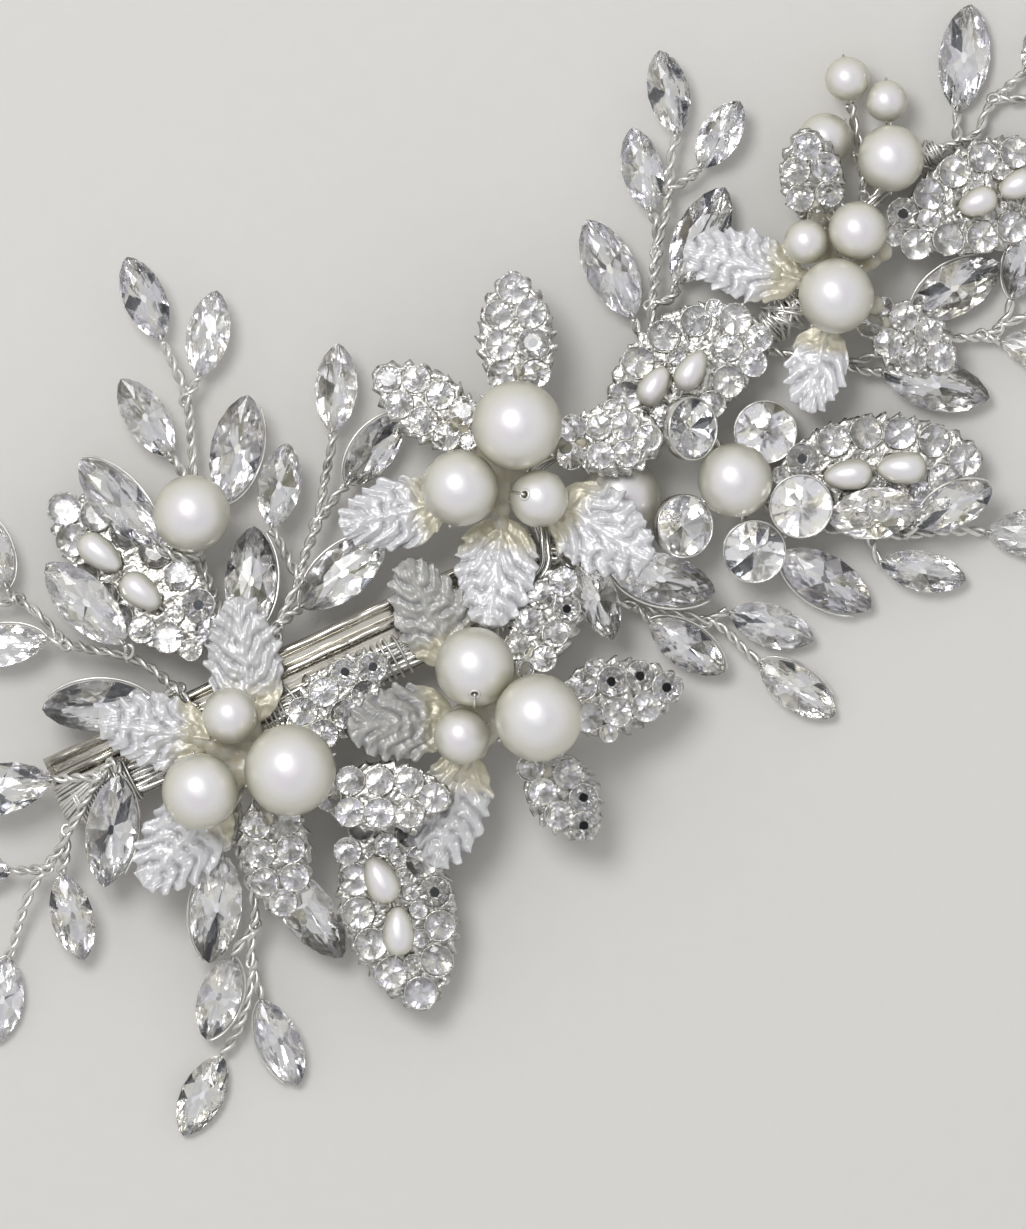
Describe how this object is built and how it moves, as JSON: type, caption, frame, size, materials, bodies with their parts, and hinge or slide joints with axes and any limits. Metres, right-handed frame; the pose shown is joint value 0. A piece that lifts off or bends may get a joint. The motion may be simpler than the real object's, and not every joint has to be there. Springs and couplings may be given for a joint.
{
  "type": "bridal hair clip with pearls and crystals",
  "caption": "Barrette hair clip with a wired spray of pointed crystals, pearls, cast pearly leaves and stone-set silver leaves, for holding up a lock of hair.",
  "frame": {"origin": "middle of the flat underside of the clip's closing arm, which lies on the surface", "axes": "+Z up from the surface through the spray towards the viewer, +X to the right along the spray's longer side as it is seen from the front, +Y up in that view"},
  "size_m": [0.132, 0.1216, 0.022],
  "materials": {
    "clip_nickel": "polished nickel plate on spring steel",
    "arm_nickel": "plain nickel-plated steel strip",
    "stem_wire": "bundle of silver-plated copper wires",
    "binding_wire": "thin silver-plated wire wound tightly",
    "hub_glue_wire": "wires set in clear glue that has gone slightly cream",
    "cup_metal": "silver-plated cups",
    "cup_crystal": "cut crystal with a silver foil back",
    "navette_crystal": "cut crystal with a silver foil back",
    "pave_crystal": "small foil-backed chatons",
    "silver_leaf": "cast silver-plated leaf with a toothed edge",
    "pearly_leaf": "cast leaf under a pearly white-lavender lacquer",
    "pearl": "ivory pearl coating, soft sheen",
    "rice_pearl": "ivory pearl coating, soft sheen",
    "twig_wire": "twisted pair of silver-plated wires"
  },
  "bodies": {
    "root": {"clip_bar": "clip_nickel", "clip_arm": "arm_nickel", "stem_bundle": "stem_wire", "stem_wraps": "binding_wire", "cup_setting": "cup_metal", "cup_stones": "cup_crystal", "rice_pearls": "rice_pearl", "hub_a": "hub_glue_wire", "hub_b": "hub_glue_wire", "hub_c": "hub_glue_wire", "hub_e": "hub_glue_wire", "twig_left_top": "twig_wire", "twig_left_mid": "twig_wire", "twig_left_out": "twig_wire", "twig_left_low": "twig_wire", "twig_low": "twig_wire", "twig_top": "twig_wire", "twig_right": "twig_wire", "twig_right_low": "twig_wire", "navettes_left_top": "navette_crystal", "navettes_left_mid": "navette_crystal", "navettes_left_out": "navette_crystal", "navettes_left_low": "navette_crystal", "navettes_low": "navette_crystal", "navettes_top": "navette_crystal", "navettes_right": "navette_crystal", "navettes_right_low": "navette_crystal", "cast_leaves_a": "pearly_leaf", "cast_leaves_b": "pearly_leaf", "cast_leaves_c": "pearly_leaf", "cast_leaves_e": "pearly_leaf", "pave_leaves_a": "silver_leaf", "pave_leaves_b": "silver_leaf", "pave_leaves_c": "silver_leaf", "pave_leaves_d": "silver_leaf", "pave_leaves_e": "silver_leaf", "pave_leaves_l": "silver_leaf", "pave_stones_a": "pave_crystal", "pave_stones_b": "pave_crystal", "pave_stones_c": "pave_crystal", "pave_stones_d": "pave_crystal", "pave_stones_e": "pave_crystal", "pave_stones_l": "pave_crystal", "twig_pearls": "pearl", "pearl_a1": "pearl", "pearl_a2": "pearl", "pearl_a3": "pearl", "pearl_b1": "pearl", "pearl_b2": "pearl", "pearl_b3": "pearl", "pearl_c1": "pearl", "pearl_c2": "pearl", "pearl_c3": "pearl", "pearl_c4": "pearl", "pearl_d1": "pearl", "pearl_e1": "pearl", "pearl_e2": "pearl", "pearl_e3": "pearl", "pearl_f1": "pearl", "pearl_l1": "pearl"}
  },
  "joints": []
}
